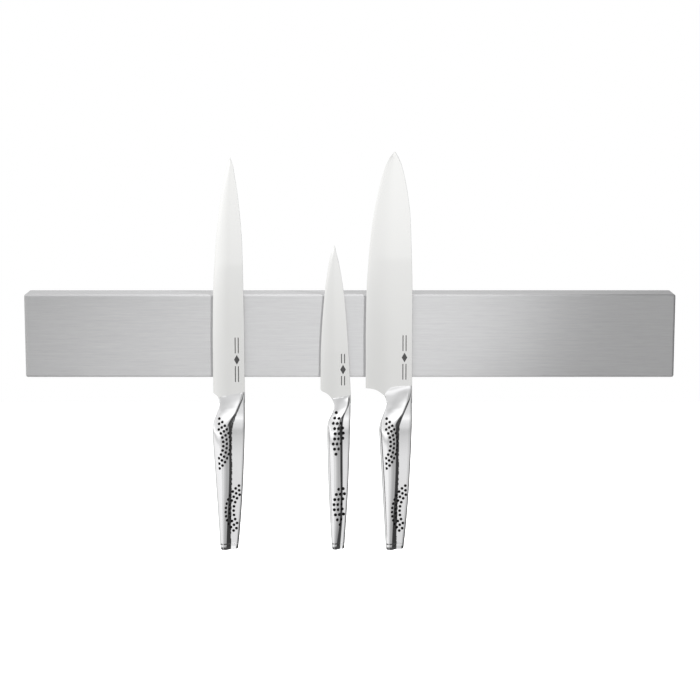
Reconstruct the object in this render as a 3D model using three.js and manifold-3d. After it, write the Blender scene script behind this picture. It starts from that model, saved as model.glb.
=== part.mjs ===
// Magnetic knife rack with three kitchen knives held on its face.
//
// Millimetres, +Z up. The origin is the middle of the rack on the wall plane: the wall is y = 0 and
// everything stands in front of it, towards -Y. +X is to the right when facing the rack.
//
// From the front to the wall the rack is a folded stainless cover, a spacer that locates two rows of
// block magnets, a steel yoke behind them, a plastic housing, a plastic back plate with two steel
// keyhole hangers in it, and rubber pads. The cover's four weld studs pass through spacer, yoke and
// housing and are held by nuts; six screws hold the back plate.

import * as THREE from "three";
import { mergeVertices } from "three/addons/utils/BufferGeometryUtils.js";
import Module from "manifold-3d";

const wasm = await Module();
wasm.setup();

// ---------------------------------------------------------------- driving dimensions

const RACK = { length: 550, height: 71, depth: 30 };
const SHEET = 1; // cover sheet thickness
const BEND = 2; // outside radius of the cover's folds and corners
const PAD_PROUD = 2; // how far the pads hold the cover off the wall
const GAP = 0.3; // between pieces that rest on each other
const SEAT_GAP = 0.1; // under the heads, washers and nuts that clamp something
const BEYOND = 5; // how far a cutting shape runs past what it cuts
const OVERLAP = 0.5; // how far joined shapes run into each other

const MAGNET = { length: 50, height: 20, thickness: 5 };
const MAGNET_COLUMNS = 9;
const MAGNET_PITCH = 59;
const MAGNET_ROW_Z = 15;
const POCKET_CLEARANCE = 0.3;

const YOKE = { length: 538, height: 60, thickness: 2, corner: 2 };
const STUD_X = [-206.5, -88.5, 88.5, 206.5];
const STUD = { radius: 1.5, clearance: 0.5, tip_y: -13.6 };
const NUT = { across_flats: 5.5, thickness: 2.4, clearance: 0.1 };
const WASHER = { radius: 3.5, thickness: 0.5, clearance: 0.2 };

const HOUSING = { wall: 2.5, floor: 2.5, clearance: 0.5, corner: 1 };
const RIB = { thickness: 2, lower_than_wall: 5, x: [-147, -44, 44, 147] };
const BACK_PLATE = { thickness: 3, clearance: 0.6, inset: 0.4, corner: 1 };
const BACK_SCREW_AT = [
  [-258, 24],
  [0, 24],
  [258, 24],
  [-258, -24],
  [0, -24],
  [258, -24],
];
const BOSS_RADIUS = 4;

const HANGER = { width: 56, height: 34, thickness: 1.5, corner: 3, x: 200, z: 6 };
const HANGER_WINDOW = { width: 18, height: 28 };
const HANGER_SCREW = { x: 20, length: 5, pilot_radius: 1.35 };
const KEYHOLE = { head_radius: 5, slot_width: 5.4, rise: 13, head_z: -6 };
const SCREW = { shank_radius: 1.25, head_radius: 2.6, head_height: 1.6, length: 8, point: 2 };
const SCREW_RECESS = { length: 2.6, width: 0.7, depth: 0.9 };
const PAD = { radius: 7, edge: 0.6, x: 236, z: 22 };

const EDGE_THICKNESS = 0.35;
const FLAT_SHARE = 0.42; // of the blade's width, from the spine, before it tapers
const TIP_TAPER = 90; // the blade thins to a third over this last stretch
const TANG = { width: 9, thickness: 1.2, length: 42 };
const NECK_Z = -57; // the neck of each knife, below the rack's lower edge
const HANDLE_LENGTH = 127.5; // neck to butt
const HANDLE_WALL = 1.3;
const BUTT_CAP_HEIGHT = 5;

// ---------------------------------------------------------------- places that follow from them

const FACE_Y = -RACK.depth;
const COVER_BACK_Y = -PAD_PROUD;
const INNER_FACE_Y = FACE_Y + SHEET;
const MAGNET_FRONT_Y = INNER_FACE_Y + GAP;
const YOKE_FRONT_Y = MAGNET_FRONT_Y + MAGNET.thickness + GAP;
const FLOOR_FRONT_Y = YOKE_FRONT_Y + YOKE.thickness + GAP;
const FLOOR_BACK_Y = FLOOR_FRONT_Y + HOUSING.floor;
const PLATE_BACK_Y = COVER_BACK_Y - BACK_PLATE.inset;
const PLATE_FRONT_Y = PLATE_BACK_Y - BACK_PLATE.thickness;
const HOUSING_BACK_Y = PLATE_FRONT_Y - GAP;
const PAD_HEIGHT = -PLATE_BACK_Y - GAP;

// ---------------------------------------------------------------- materials

const metal = (color, roughness) =>
  new THREE.MeshStandardMaterial({ color, roughness, metalness: 1 });
const plastic = (color, roughness) =>
  new THREE.MeshStandardMaterial({ color, roughness, metalness: 0 });

const MATERIALS = {
  brushed_steel: metal(0xc4c5c6, 0.38),
  blade_steel: metal(0xd9dad8, 0.28),
  polished_steel: metal(0xdedfe0, 0.12),
  zinc_plate: metal(0xb4b6b8, 0.4),
  magnet_nickel: metal(0x9a9a98, 0.3),
  black_plastic: plastic(0x1b1b1c, 0.55),
  rubber: plastic(0x2a2a2a, 0.85),
};

// ---------------------------------------------------------------- geometry helpers

// A closed three.js geometry as a manifold-3d solid.
function solid(geometry) {
  const bare = geometry.index ? geometry.toNonIndexed() : geometry.clone();
  bare.deleteAttribute("normal");
  bare.deleteAttribute("uv");
  const merged = mergeVertices(bare, 1e-4);
  return new wasm.Manifold(
    new wasm.Mesh({
      numProp: 3,
      vertProperties: new Float32Array(merged.attributes.position.array),
      triVerts: new Uint32Array(merged.index.array),
    }),
  );
}

// A manifold-3d solid as a flat-shaded three.js geometry.
function geometryOf(manifold) {
  const mesh = manifold.getMesh();
  const positions = new Float32Array(mesh.numVert * 3);
  for (let i = 0; i < mesh.numVert; i++) {
    const start = i * mesh.numProp;
    positions.set(mesh.vertProperties.subarray(start, start + 3), i * 3);
  }
  const indexed = new THREE.BufferGeometry();
  indexed.setAttribute("position", new THREE.BufferAttribute(positions, 3));
  indexed.setIndex(new THREE.BufferAttribute(new Uint32Array(mesh.triVerts), 1));
  const flat = indexed.toNonIndexed();
  flat.computeVertexNormals();
  return flat;
}

// A shape drawn in X and Z, given thickness along Y from front to back.
function slab(shape, front, back, segments = 6) {
  const geometry = new THREE.ExtrudeGeometry(shape, {
    depth: back - front,
    bevelEnabled: false,
    curveSegments: segments,
  });
  geometry.rotateX(Math.PI / 2);
  geometry.translate(0, back, 0);
  return solid(geometry);
}

// A round pin or hole along Y.
function pin(x, z, radius, front, back, sides = 12) {
  const geometry = new THREE.CylinderGeometry(radius, radius, back - front, sides);
  geometry.translate(x, (front + back) / 2, z);
  return solid(geometry);
}

function box(width, height, front, back, x = 0, z = 0) {
  const geometry = new THREE.BoxGeometry(width, back - front, height);
  geometry.translate(x, (front + back) / 2, z);
  return solid(geometry);
}

// A rectangle with round corners, centred on x, z.
function roundedRectangle(width, height, radius, x = 0, z = 0) {
  const shape = new THREE.Shape();
  const [left, right, low, high] = [x - width / 2, x + width / 2, z - height / 2, z + height / 2];
  shape.moveTo(left + radius, low);
  shape.lineTo(right - radius, low);
  shape.absarc(right - radius, low + radius, radius, -Math.PI / 2, 0);
  shape.lineTo(right, high - radius);
  shape.absarc(right - radius, high - radius, radius, 0, Math.PI / 2);
  shape.lineTo(left + radius, high);
  shape.absarc(left + radius, high - radius, radius, Math.PI / 2, Math.PI);
  shape.lineTo(left, low + radius);
  shape.absarc(left + radius, low + radius, radius, Math.PI, 1.5 * Math.PI);
  return shape;
}

// A rectangle with sharp corners, centred on x, z.
function rectangle(width, height, x = 0, z = 0) {
  const [left, right, low, high] = [x - width / 2, x + width / 2, z - height / 2, z + height / 2];
  const corners = [[left, low], [right, low], [right, high], [left, high]];
  return new THREE.Shape(corners.map((corner) => new THREE.Vector2(...corner)));
}

// Rings with the same number of points each, joined into a closed skin with flat ends.
function loft(rings) {
  const count = rings[0].length;
  const positions = rings.flat().flatMap((p) => [p.x, p.y, p.z]);
  const index = [];
  for (let r = 0; r + 1 < rings.length; r++) {
    for (let i = 0; i < count; i++) {
      const a = r * count + i;
      const b = r * count + ((i + 1) % count);
      index.push(a, b, b + count, a, b + count, a + count);
    }
  }
  const last = (rings.length - 1) * count;
  const contour = rings[0].map((p) => new THREE.Vector2(p.x, p.y));
  for (const [a, b, c] of THREE.ShapeUtils.triangulateShape(contour, [])) index.push(a, c, b);
  const end = rings.at(-1).map((p) => new THREE.Vector2(p.x, p.y));
  for (const [a, b, c] of THREE.ShapeUtils.triangulateShape(end, [])) {
    index.push(last + a, last + b, last + c);
  }
  const geometry = new THREE.BufferGeometry();
  geometry.setAttribute("position", new THREE.Float32BufferAttribute(positions, 3));
  geometry.setIndex(index);
  return solid(geometry);
}

// A smooth value between [station, value] pairs, flat beyond both ends.
function along(stations, s) {
  const n = stations.length;
  if (s <= stations[0][0]) return stations[0][1];
  if (s >= stations[n - 1][0]) return stations[n - 1][1];
  const i = stations.findIndex(([at]) => at > s) - 1;
  const slope = (k) => {
    const [before, after] = [stations[Math.max(k - 1, 0)], stations[Math.min(k + 1, n - 1)]];
    return (after[1] - before[1]) / (after[0] - before[0]);
  };
  const [[from, a], [to, b]] = [stations[i], stations[i + 1]];
  const span = to - from;
  const t = (s - from) / span;
  const [t2, t3] = [t * t, t * t * t];
  return (
    (2 * t3 - 3 * t2 + 1) * a +
    (t3 - 2 * t2 + t) * span * slope(i) +
    (3 * t2 - 2 * t3) * b +
    (t3 - t2) * span * slope(i + 1)
  );
}

// ---------------------------------------------------------------- the rack

// Five-sided cover folded from sheet: rounded outside folds, welded corners, four weld studs inside.
function frontCover() {
  const outer = new THREE.ExtrudeGeometry(
    roundedRectangle(RACK.length - 2 * BEND, RACK.height - 2 * BEND, 0.01),
    {
      depth: COVER_BACK_Y - FACE_Y - BEND,
      bevelEnabled: true,
      bevelThickness: BEND,
      bevelSize: BEND,
      bevelSegments: 4,
      curveSegments: 1,
    },
  );
  outer.rotateX(Math.PI / 2);
  outer.translate(0, COVER_BACK_Y, 0);
  const trimBack = box(
    RACK.length + BEYOND,
    RACK.height + BEYOND,
    COVER_BACK_Y,
    COVER_BACK_Y + BEYOND,
  );
  const hollow = slab(
    roundedRectangle(RACK.length - 2 * SHEET, RACK.height - 2 * SHEET, BEND - SHEET),
    INNER_FACE_Y,
    COVER_BACK_Y + BEYOND,
    3,
  );
  let cover = solid(outer).subtract(trimBack).subtract(hollow);
  for (const x of STUD_X) {
    cover = cover.add(pin(x, 0, STUD.radius, INNER_FACE_Y - OVERLAP, STUD.tip_y));
  }
  return cover;
}

// A piece drilled where the cover's studs pass through it.
function withStudHoles(piece) {
  const radius = STUD.radius + STUD.clearance;
  const drills = STUD_X.map((x) => pin(x, 0, radius, INNER_FACE_Y, COVER_BACK_Y));
  return drills.reduce((rest, drill) => rest.subtract(drill), piece);
}

const magnetX = (column) => (column - (MAGNET_COLUMNS - 1) / 2) * MAGNET_PITCH;

// Width and height of a plate that fits inside the cover with a clearance all round.
const insideCover = (clearance) =>
  [RACK.length, RACK.height].map((size) => size - 2 * SHEET - 2 * clearance);

// Plastic plate with a window for each magnet and a hole for each stud.
function magnetSpacer() {
  const outline = roundedRectangle(...insideCover(HOUSING.clearance), HOUSING.corner);
  const window = [MAGNET.length + 2 * POCKET_CLEARANCE, MAGNET.height + 2 * POCKET_CLEARANCE];
  let plate = slab(outline, MAGNET_FRONT_Y, MAGNET_FRONT_Y + MAGNET.thickness, 1);
  for (let column = 0; column < MAGNET_COLUMNS; column++) {
    for (const z of [-MAGNET_ROW_Z, MAGNET_ROW_Z]) {
      plate = plate.subtract(box(...window, INNER_FACE_Y, YOKE_FRONT_Y, magnetX(column), z));
    }
  }
  return withStudHoles(plate);
}

function magnet() {
  const bevel = 0.4;
  const face = rectangle(MAGNET.length - 2 * bevel, MAGNET.height - 2 * bevel);
  const geometry = new THREE.ExtrudeGeometry(face, {
    depth: MAGNET.thickness - 2 * bevel,
    bevelThickness: bevel,
    bevelSize: bevel,
    bevelSegments: 1,
  });
  geometry.rotateX(Math.PI / 2);
  geometry.translate(0, (MAGNET.thickness - 2 * bevel) / 2, 0);
  return solid(geometry);
}

// Steel strip that closes the magnets' circuit behind both rows.
function yokePlate() {
  const shape = roundedRectangle(YOKE.length, YOKE.height, YOKE.corner);
  return withStudHoles(slab(shape, YOKE_FRONT_Y, YOKE_FRONT_Y + YOKE.thickness, 2));
}

// Plastic tray, open to the wall side, with bosses for the back plate's screws.
function backHousing() {
  const [width, height] = insideCover(HOUSING.clearance);
  const inside = [width - 2 * HOUSING.wall, height - 2 * HOUSING.wall];
  const outline = roundedRectangle(width, height, HOUSING.corner);
  const hollow = box(...inside, FLOOR_BACK_Y, HOUSING_BACK_Y + BEYOND);
  let tray = slab(outline, FLOOR_FRONT_Y, HOUSING_BACK_Y, 2).subtract(hollow);
  const root = FLOOR_BACK_Y - OVERLAP;
  const ribTop = HOUSING_BACK_Y - RIB.lower_than_wall;
  for (const x of RIB.x) {
    tray = tray.add(box(RIB.thickness, inside[1] + 2 * OVERLAP, root, ribTop, x));
  }
  for (const [x, z] of BACK_SCREW_AT) {
    tray = tray.add(pin(x, z, BOSS_RADIUS, root, HOUSING_BACK_Y));
  }
  const bore = SCREW.shank_radius + GAP;
  for (const [x, z] of BACK_SCREW_AT) {
    tray = tray.subtract(pin(x, z, bore, FLOOR_BACK_Y + 1, HOUSING_BACK_Y + BEYOND, 10));
  }
  return withStudHoles(tray);
}

// Outline of the screw-head hole with its slot above, in the hanger's own place.
function keyholePath(x, z) {
  const half = KEYHOLE.slot_width / 2;
  const open = Math.asin(half / KEYHOLE.head_radius);
  const path = new THREE.Path();
  path.absarc(x, z, KEYHOLE.head_radius, Math.PI / 2 + open, Math.PI / 2 - open + 2 * Math.PI);
  path.lineTo(x + half, z + KEYHOLE.rise - half);
  path.absarc(x, z + KEYHOLE.rise - half, half, 0, Math.PI);
  return path;
}

const hangerAt = (side) => ({ x: side * HANGER.x, z: HANGER.z });

function hangerPlate(side) {
  const { x, z } = hangerAt(side);
  const shape = roundedRectangle(HANGER.width, HANGER.height, HANGER.corner, x, z);
  shape.holes.push(keyholePath(x, z + KEYHOLE.head_z));
  const hole = SCREW.shank_radius + GAP;
  for (const offset of [-HANGER_SCREW.x, HANGER_SCREW.x]) {
    shape.holes.push(new THREE.Path().absarc(x + offset, z, hole, 0, 2 * Math.PI));
  }
  return slab(shape, PLATE_BACK_Y - HANGER.thickness, PLATE_BACK_Y, 5);
}

// Plastic back with a recess and a window for each hanger, and countersunk screw seats.
function backPlate() {
  const through = [PLATE_FRONT_Y - BEYOND, PLATE_BACK_Y + BEYOND];
  const outline = roundedRectangle(...insideCover(BACK_PLATE.clearance), BACK_PLATE.corner);
  let plate = slab(outline, PLATE_FRONT_Y, PLATE_BACK_Y, 2);
  for (const side of [-1, 1]) {
    const { x, z } = hangerAt(side);
    const [width, height] = [HANGER.width + 2 * GAP, HANGER.height + 2 * GAP];
    const recess = roundedRectangle(width, height, HANGER.corner + GAP, x, z);
    const recessFloor = PLATE_BACK_Y - HANGER.thickness - GAP;
    plate = plate.subtract(slab(recess, recessFloor, PLATE_BACK_Y + BEYOND, 3));
    plate = plate.subtract(box(HANGER_WINDOW.width, HANGER_WINDOW.height, ...through, x, z));
    for (const offset of [-HANGER_SCREW.x, HANGER_SCREW.x]) {
      plate = plate.subtract(pin(x + offset, z, HANGER_SCREW.pilot_radius, ...through, 10));
    }
  }
  for (const [x, z] of BACK_SCREW_AT) {
    const seatY = PLATE_BACK_Y - SCREW.head_height - 2 * SEAT_GAP;
    const seat = pin(x, z, SCREW.head_radius + GAP, seatY, PLATE_BACK_Y + BEYOND);
    plate = plate.subtract(seat).subtract(pin(x, z, SCREW.shank_radius + GAP, ...through, 10));
  }
  return plate;
}

// Pan-head screw with a cross recess, seat at y = 0, head towards +Y.
function panScrew(length) {
  const { shank_radius: shank, head_radius: head, head_height: rise } = SCREW;
  const profile = [
    [0, -length],
    [shank, -length + SCREW.point],
    [shank, 0],
    [head, 0],
    [head, rise * 0.5],
    [head * 0.6, rise],
    [0, rise],
  ].map(([r, y]) => new THREE.Vector2(r, y));
  const body = solid(new THREE.LatheGeometry(profile, 10));
  const { length: arm, width, depth } = SCREW_RECESS;
  const slot = box(arm, width, rise - depth, rise + 1);
  return body.subtract(slot.add(box(width, arm, rise - depth, rise + 1)));
}

function hexNut() {
  const radius = NUT.across_flats / 2 / Math.cos(Math.PI / 6);
  const body = solid(new THREE.CylinderGeometry(radius, radius, NUT.thickness, 6));
  return body.subtract(pin(0, 0, STUD.radius + NUT.clearance, -BEYOND, BEYOND));
}

function washer() {
  const half = WASHER.thickness / 2;
  const hole = pin(0, 0, STUD.radius + WASHER.clearance, -BEYOND, BEYOND);
  return pin(0, 0, WASHER.radius, -half, half).subtract(hole);
}

// Round pad with a chamfered edge, standing on y = 0.
function wallPad() {
  const profile = [
    [0, 0],
    [PAD.radius, 0],
    [PAD.radius, PAD_HEIGHT - PAD.edge],
    [PAD.radius - PAD.edge, PAD_HEIGHT],
    [0, PAD_HEIGHT],
  ].map(([r, y]) => new THREE.Vector2(r, y));
  return solid(new THREE.LatheGeometry(profile, 16));
}

// ---------------------------------------------------------------- the knives

// Each knife has its own frame: x = 0 on the straight part of the spine and negative towards the edge,
// y = 0 in the blade's middle plane, z = 0 at the neck. Blade outlines are [z, x]. Handle lines are
// [distance below the neck, value]: its left and right outlines, the crease that runs down each side,
// and the half depth at the crest of the round lobe left of the crease.

const WIDE_HANDLE = {
  left: [[-14, -26], [-6, -25], [0, -21.6], [8, -23.6], [15, -26.3], [21, -27.7], [28, -27.8],
    [60, -25.9], [100, -23.6], [127.5, -22]],
  right: [[20, 0], [45, -0.9], [80, -2.7], [110, -5], [127.5, -6.8]],
  crease: [[-9, -0.6], [-3, -2.4], [2.5, -4.6], [8, -7], [13.5, -9.3], [20, -11.2], [33, -11.9],
    [60, -11.9], [100, -13], [127.5, -13.4]],
  depth: [[-16, 1.6], [-11, 2], [-4, 3.7], [4, 5.8], [14, 8.2], [28, 9.2], [60, 9.2], [127.5, 7.8]],
};
const NARROW_HANDLE = {
  left: [[-14, -21], [-6, -20], [0, -14.6], [5, -14.5], [10, -16.4], [16, -19.2], [21, -20],
    [45, -19.9], [90, -18.4], [127.5, -16.3]],
  right: [[8, 0], [40, -0.9], [80, -2.5], [127.5, -5.6]],
  crease: [[-8, -0.5], [-2, -1.2], [2.5, -2.4], [7, -4.7], [12.5, -7], [20, -7.7], [95, -7.9],
    [127.5, -10]],
  depth: [[-14, 1.2], [-9, 1.7], [-3, 3], [4, 4.7], [14, 6.8], [28, 7.8], [60, 7.8], [127.5, 6.6]],
};
// Depth at the crease over depth at the crest, and how late the lobe turns down to the crease.
const CREASE_SHARE = [[-9, 0.82], [20, 0.72], [60, 0.66], [127.5, 0.64]];
const ROLL_OFF = [[-8, 5], [10, 4.5], [22, 3], [40, 2.4], [127.5, 2.1]];
const LOBE_ROUNDNESS = 2.2;
const FACET_SLOPE = 0.05;
const SPINE_ROUND = 1.8; // corner radius between the flat facet and the spine side

const KNIVES = [
  {
    name: "chef_knife",
    spine_x: 52.8,
    thickness: 2.4,
    handle: WIDE_HANDLE,
    spine: [[98, 0], [132, -1], [159, -2.1], [173, -3.7], [186, -5.8], [199, -8.7], [206, -11.3],
      [212.6, -14.8]],
    edge: [[57, -39.3], [98, -38.6], [119, -37.3], [139, -35.6], [159, -33], [179, -29], [193, -25.5],
      [206, -20.4], [212.6, -15.6]],
    heel: { corner: [-39.2, 12.4], pull: [[-29, 10.6], [-22.4, 7]] },
    bolster: { start: [-25.5, 2], pull: [[-22, 12], [-17, 14.7]], end: [6, 14.7] },
  },
  {
    name: "slicing_knife",
    spine_x: -89.1,
    thickness: 2.2,
    handle: WIDE_HANDLE,
    spine: [[57, 0], [99, -0.6], [140, -1.5], [160, -3], [175, -4.5], [190, -6.6], [201, -8.5],
      [207.6, -10.6]],
    edge: [[57, -26.8], [99, -25.9], [120, -24.7], [147, -22.5], [173, -19.2], [187, -16.9], [200, -13.9],
      [207.6, -11]],
    heel: { corner: [-26.5, 8], pull: [[-23.6, 6.4], [-21.8, 4]] },
    bolster: { start: [-24, 1], pull: [[-18, 6], [-10, 9.5]], end: [6, 9.5] },
  },
  {
    name: "utility_knife",
    spine_x: 0.8,
    thickness: 1.8,
    handle: NARROW_HANDLE,
    spine: [[8, 0], [26, -0.9], [47, -2], [85, -4.8], [106, -7.5], [120, -10.1], [133.9, -13.5]],
    edge: [[12, -25.7], [43, -25.3], [61, -24.5], [78, -23.3], [99, -21.4], [113, -19.4], [126, -17],
      [133.9, -13.9]],
    heel: { corner: [-24.4, 10.3], pull: [[-17, 5.4], [-14.8, 2]] },
    bolster: { start: [-18, 0], pull: [[-13, 5], [-8, 7]], end: [6, 7] },
  },
];

// Cross-section of the blade at a height: full thickness at the spine, a taper to the edge.
function bladeSection(knife, z) {
  const tip = knife.spine.at(-1)[0];
  const left = tip - Math.max(z, 0);
  const half = (knife.thickness / 2) * Math.min(1 / 3 + ((2 / 3) * left) / TIP_TAPER, 1);
  const edgeHalf = Math.min(EDGE_THICKNESS / 2, half);
  const [spine, edge] = [along(knife.spine, z), along(knife.edge, z)];
  const shoulder = spine + (edge - spine) * FLAT_SHARE;
  return [
    new THREE.Vector3(spine, -half, z),
    new THREE.Vector3(spine, half, z),
    new THREE.Vector3(shoulder, half, z),
    new THREE.Vector3(edge, edgeHalf, z),
    new THREE.Vector3(edge, -edgeHalf, z),
    new THREE.Vector3(shoulder, -half, z),
  ];
}

// Region left of the heel's curve, between the corner of the edge and the neck, down to a floor.
function heelCut(knife, floor) {
  const { corner, pull } = knife.heel;
  const neckLeft = along(knife.handle.left, 0);
  const shape = new THREE.Shape();
  shape.moveTo(corner[0] - 20, corner[1]);
  shape.lineTo(corner[0] - 20, floor);
  shape.lineTo(neckLeft, floor);
  shape.lineTo(neckLeft, 0);
  shape.bezierCurveTo(...pull[1], ...pull[0], ...corner);
  return slab(shape, -10, 10, 6);
}

// Everything on one side of the line where the bolster meets the blade, up to a far level.
function besideBolsterLine(knife, lift, level) {
  const { start, pull, end } = knife.bolster;
  const raised = ([x, z]) => [x, z + lift];
  const shape = new THREE.Shape();
  shape.moveTo(...raised(start));
  shape.bezierCurveTo(...raised(pull[0]), ...raised(pull[1]), ...raised(end));
  shape.lineTo(end[0], level);
  shape.lineTo(start[0] - 20, level);
  shape.lineTo(start[0] - 20, start[1] + lift);
  return slab(shape, -12, 12, 6);
}

// Half of the handle's cross-section as [x, depth], from its left edge over the round lobe, down into
// the crease, across the flat facet and round to the spine side.
function handleProfile(handle, s) {
  const lines = [handle.left, handle.right, handle.crease, handle.depth];
  const [left, right, crease, depth] = lines.map((stations) => along(stations, s));
  const crest = (left + crease) / 2;
  const creaseDepth = depth * along(CREASE_SHARE, s);
  const lobe = [0.08, 0.3, 0.62, 1].map((share) => {
    const angle = (share * Math.PI) / 2;
    const reach = Math.cos(angle) ** (2 / LOBE_ROUNDNESS);
    return [crest - (crest - left) * reach, depth * Math.sin(angle) ** (2 / LOBE_ROUNDNESS)];
  });
  const rollOff = [0.6, 0.85, 1].map((share) => {
    const fall = (depth - creaseDepth) * share ** along(ROLL_OFF, s);
    return [crest + (crease - crest) * share, depth - fall];
  });
  const facetDepth = creaseDepth - (right - crease) * FACET_SLOPE;
  const round = Math.min(SPINE_ROUND, (right - crease) * 0.8, facetDepth * 0.6);
  const corner = [0, 0.5, 1].map((share) => {
    const angle = (share * Math.PI) / 2;
    return [right - round * (1 - Math.sin(angle)), facetDepth - round * (1 - Math.cos(angle))];
  });
  return [...lobe, ...rollOff, ...corner];
}

// One ring of the handle, all round, at a distance below the neck; inset shrinks it evenly.
function handleRing(handle, s, inset = 0) {
  const profile = handleProfile(handle, s);
  const [left, right] = [along(handle.left, s), along(handle.right, s)];
  const middle = (left + right) / 2;
  const shrink = (x) => middle + (x - middle) * (1 - (2 * inset) / (right - left));
  const half = profile.map(([x, depth]) => [shrink(x), Math.max(depth - inset, 0.2)]);
  const front = half.map(([x, depth]) => new THREE.Vector3(x, -depth, -s));
  const back = half.map(([x, depth]) => new THREE.Vector3(x, depth, -s));
  const edge = new THREE.Vector3(shrink(left), 0, -s);
  return [edge, ...front, ...back.reverse()];
}

const ringsBetween = (handle, stations, inset) =>
  stations.map((s) => handleRing(handle, s, inset)).reverse();

// The tang, or with clearance its slot: a strip along the middle of the neck.
function tangStrip(knife, clearance, high, low) {
  const middle = along(knife.handle.left, 0) / 2;
  const half = TANG.thickness / 2 + clearance;
  return box(TANG.width + 2 * clearance, high - low, -half, half, middle, (high + low) / 2);
}

// Hollow handle with its bolster: open at the butt, slotted for the tang.
function knifeHandle(knife) {
  const { handle } = knife;
  const skinEnd = HANDLE_LENGTH - BUTT_CAP_HEIGHT; // the outside ends here, at the cap
  const outside = [-16, -11, -5, 0, 5, 10, 15, 20, 26, 40, 60, 80, 100, skinEnd];
  const inside = [12, 20, 40, 80, skinEnd + 3];
  return loft(ringsBetween(handle, outside, 0))
    .subtract(loft(ringsBetween(handle, inside, HANDLE_WALL)))
    .subtract(heelCut(knife, 0))
    .subtract(besideBolsterLine(knife, -GAP / 2, 30))
    .subtract(tangStrip(knife, GAP, 20, -20));
}

function buttCap(knife) {
  // [distance from the butt's end, inset of the outline]
  const rings = [[BUTT_CAP_HEIGHT - GAP, 0], [1.6, 0], [0.5, 0.6], [0, 1.6]];
  const skins = rings.map(([up, inset]) => handleRing(knife.handle, HANDLE_LENGTH - up, inset));
  return loft(skins.reverse());
}

// Blade with its hidden tang. The bolster's outline is cut away from it, with a gap.
function knifeBlade(knife) {
  const foot = -4;
  const heights = [...knife.spine, ...knife.edge].map(([z]) => z);
  const levels = [...new Set([foot, ...heights])].sort((a, b) => a - b);
  const rings = levels.map((z) => bladeSection(knife, z));
  return loft(rings)
    .subtract(heelCut(knife, -30))
    .subtract(besideBolsterLine(knife, GAP / 2, -30))
    .add(tangStrip(knife, 0, knife.bolster.end[1] + 2, knife.bolster.end[1] + 2 - TANG.length));
}

// ---------------------------------------------------------------- the assembly

const rack = new THREE.Group();

function place(name, shape, material, x = 0, y = 0, z = 0, parent = rack) {
  const mesh = new THREE.Mesh(geometryOf(shape), MATERIALS[material]);
  mesh.name = name;
  mesh.position.set(x, y, z);
  parent.add(mesh);
}

place("front_cover", frontCover(), "brushed_steel");
place("magnet_spacer", magnetSpacer(), "black_plastic");
place("yoke_plate", yokePlate(), "zinc_plate");
place("back_housing", backHousing(), "black_plastic");
place("back_plate", backPlate(), "black_plastic");

const magnetY = MAGNET_FRONT_Y + MAGNET.thickness / 2;
for (let column = 0; column < MAGNET_COLUMNS; column++) {
  place(`magnet_upper_${column + 1}`, magnet(), "magnet_nickel", magnetX(column), magnetY, MAGNET_ROW_Z);
  place(`magnet_lower_${column + 1}`, magnet(), "magnet_nickel", magnetX(column), magnetY, -MAGNET_ROW_Z);
}

STUD_X.forEach((x, i) => {
  const washerY = FLOOR_BACK_Y + SEAT_GAP + WASHER.thickness / 2;
  const nutY = washerY + WASHER.thickness / 2 + SEAT_GAP + NUT.thickness / 2;
  place(`stud_washer_${i + 1}`, washer(), "zinc_plate", x, washerY);
  place(`stud_nut_${i + 1}`, hexNut(), "zinc_plate", x, nutY);
});

BACK_SCREW_AT.forEach(([x, z], i) => {
  const seatY = PLATE_BACK_Y - SCREW.head_height - SEAT_GAP;
  place(`back_screw_${i + 1}`, panScrew(SCREW.length), "zinc_plate", x, seatY, z);
});

for (const [side, word] of [[-1, "left"], [1, "right"]]) {
  const { x, z } = hangerAt(side);
  place(`hanger_plate_${word}`, hangerPlate(side), "zinc_plate");
  [-HANGER_SCREW.x, HANGER_SCREW.x].forEach((offset, i) => {
    const screw = panScrew(HANGER_SCREW.length);
    const name = `hanger_screw_${word}_${i + 1}`;
    place(name, screw, "zinc_plate", x + offset, PLATE_BACK_Y + SEAT_GAP, z);
  });
}

const padCorners = [[-1, 1], [1, 1], [-1, -1], [1, -1]];
padCorners.forEach(([sideX, sideZ], i) => {
  place(`wall_pad_${i + 1}`, wallPad(), "rubber", sideX * PAD.x, -PAD_HEIGHT, sideZ * PAD.z);
});

for (const knife of KNIVES) {
  const group = new THREE.Group();
  group.position.set(knife.spine_x, FACE_Y - GAP - knife.thickness / 2, NECK_Z);
  place(`${knife.name}_blade`, knifeBlade(knife), "blade_steel", 0, 0, 0, group);
  place(`${knife.name}_handle`, knifeHandle(knife), "polished_steel", 0, 0, 0, group);
  place(`${knife.name}_butt_cap`, buttCap(knife), "polished_steel", 0, 0, 0, group);
  rack.add(group);
}

export default rack;
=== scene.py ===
"""Looks of the magnetic knife rack: cover, back, hangers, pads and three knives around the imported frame.

Lengths are in metres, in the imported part's frame: the wall is y = 0, the rack's face looks towards -Y and
+Z is up. The knives' measures are in millimetres, in each knife's own frame: x = 0 is on the straight part of
the spine and negative towards the edge, z = 0 is at the neck, and s is the distance below the neck.
"""

import math

import bmesh
import bpy
from mathutils import Matrix, Vector


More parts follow.
